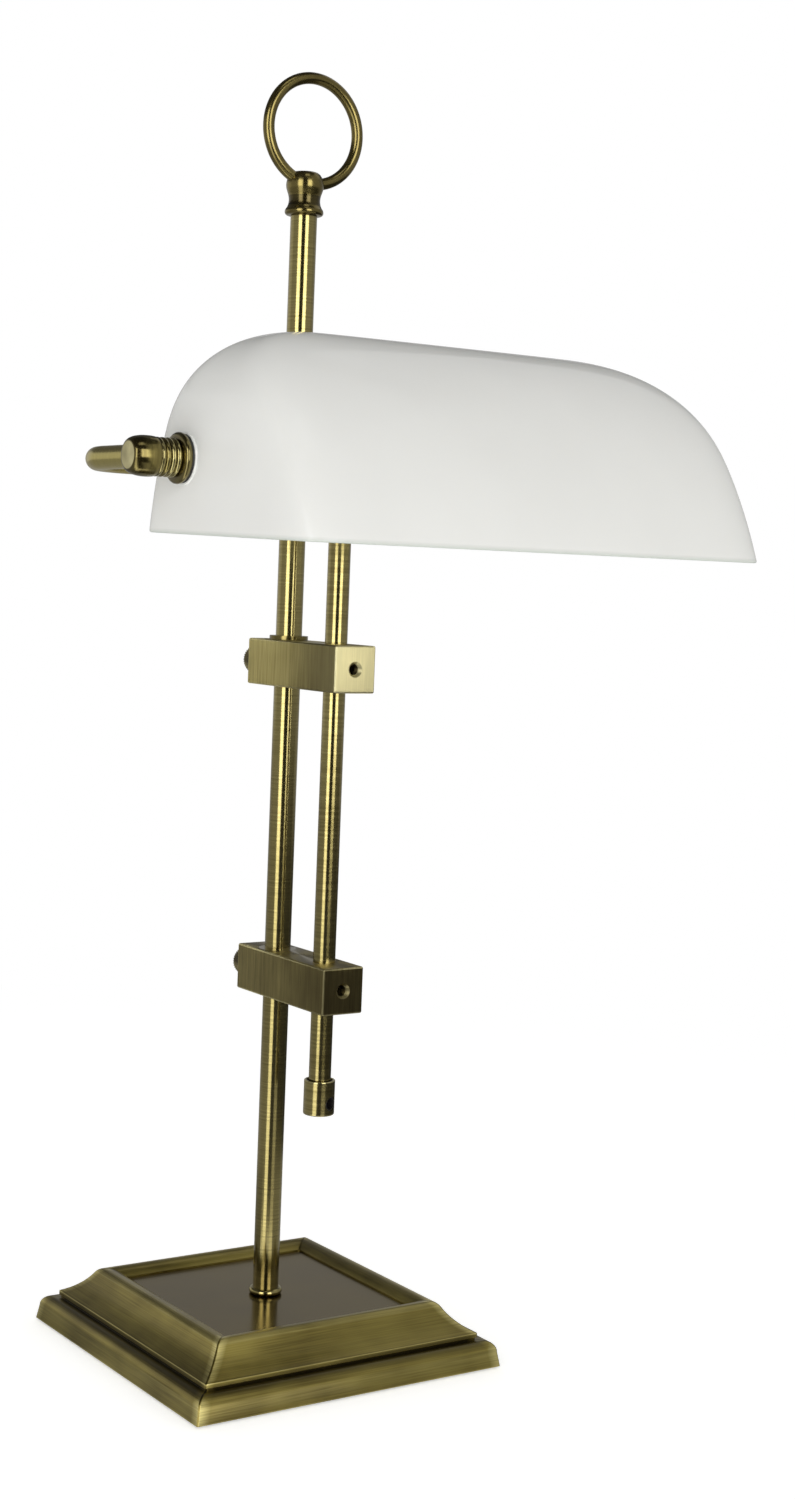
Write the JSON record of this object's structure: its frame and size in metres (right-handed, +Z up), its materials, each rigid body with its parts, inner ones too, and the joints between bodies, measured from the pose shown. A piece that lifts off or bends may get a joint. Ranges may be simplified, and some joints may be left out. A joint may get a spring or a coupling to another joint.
{
  "type": "bankers desk lamp",
  "caption": "Desk lamp with a square moulded base, a post with a carrying ring, sliding clamp blocks and an opal glass trough shade that tilts on a yoke.",
  "frame": {"origin": "middle of the underside, on the post's axis", "axes": "+Z up along the post, X along the shade, the shade in front of the post at -Y"},
  "size_m": [0.2746, 0.2764, 0.585],
  "materials": {
    "brass": "brushed, antique patina",
    "dark_brass": "dark antique patina",
    "bronze_plate": "smooth, dark patina",
    "opal_glass": "glossy opal white",
    "bulb_glass": "opal white",
    "rubber": "matte black",
    "black_resin": "moulded",
    "cap_metal": "plain",
    "cast_iron": "as cast",
    "steel": "zinc plated",
    "felt": "wool felt"
  },
  "bodies": {
    "stand": {"base_felt": "felt", "base_ballast": "cast_iron", "base_plinth": "brass", "base_tier": "brass", "base_plate": "bronze_plate", "post": "brass", "post_foot_ring": "brass", "post_stud": "steel", "post_washer": "steel", "post_nut": "steel", "finial": "dark_brass", "finial_ring": "dark_brass"},
    "slide_bushes": {"upper_bush": "dark_brass", "lower_bush": "dark_brass"},
    "carriage": {"upper_block": "brass", "lower_block": "brass", "grub_screws": "dark_brass", "slide_rod": "brass", "rod_end_cap": "brass", "outlet_bush": "black_resin", "yoke_tee": "brass", "yoke_tube_left": "brass", "yoke_tube_right": "brass", "elbow_left": "brass", "elbow_right": "brass", "pivot_collar_left": "brass", "pivot_collar_right": "brass", "pivot_flange_left": "dark_brass", "pivot_flange_right": "dark_brass", "pivot_nipple_left": "brass", "pivot_nipple_right": "brass", "pivot_washer_left": "brass", "pivot_washer_right": "brass", "lock_nut_right": "brass", "holder_cap": "black_resin", "holder_skirt": "black_resin", "holder_shell": "cap_metal", "holder_contact": "brass", "bulb_cap": "cap_metal", "bulb_glass": "bulb_glass"},
    "shade": {"glass_shade": "opal_glass", "outer_gasket_left": "rubber", "outer_gasket_right": "rubber", "inner_gasket_left": "rubber", "inner_gasket_right": "rubber"},
    "upper_clamp_pad": {"upper_pad": "brass"},
    "upper_clamp_screw": {"upper_thumbscrew": "dark_brass"},
    "lower_clamp_pad": {"lower_pad": "brass"},
    "lower_clamp_screw": {"lower_thumbscrew": "dark_brass"}
  },
  "joints": [
    {"name": "height_slide", "type": "slide", "parent": "stand", "child": "slide_bushes", "axis": [0, 0, 1], "range_m": [-0.088, 0.189]},
    {"name": "post_swing", "type": "hinge", "parent": "slide_bushes", "child": "carriage", "pos_m": [0, 0, 0.25], "axis": [0, 0, 1], "continuous": true},
    {"name": "shade_tilt", "type": "hinge", "parent": "carriage", "child": "shade", "pos_m": [0, -0.102, 0.4034], "axis": [1, 0, 0], "range_deg": [-70, 70]},
    {"name": "upper_pad_press", "type": "slide", "parent": "carriage", "child": "upper_clamp_pad", "axis": [0, 1, 0], "range_m": [0, 0.00161]},
    {"name": "upper_screw_turn", "type": "hinge", "parent": "upper_clamp_pad", "child": "upper_clamp_screw", "pos_m": [0, 0.025, 0.3194], "axis": [0, 1, 0], "range_deg": [0, 720]},
    {"name": "lower_pad_press", "type": "slide", "parent": "carriage", "child": "lower_clamp_pad", "axis": [0, 1, 0], "range_m": [0, 0.00161]},
    {"name": "lower_screw_turn", "type": "hinge", "parent": "lower_clamp_pad", "child": "lower_clamp_screw", "pos_m": [0, 0.025, 0.177], "axis": [0, 1, 0], "range_deg": [0, 720]}
  ],
  "couplings": [
    {"joint": "upper_pad_press", "follows": "upper_screw_turn", "m_per_rad": 0.00012732},
    {"joint": "lower_pad_press", "follows": "lower_screw_turn", "m_per_rad": 0.00012732}
  ]
}
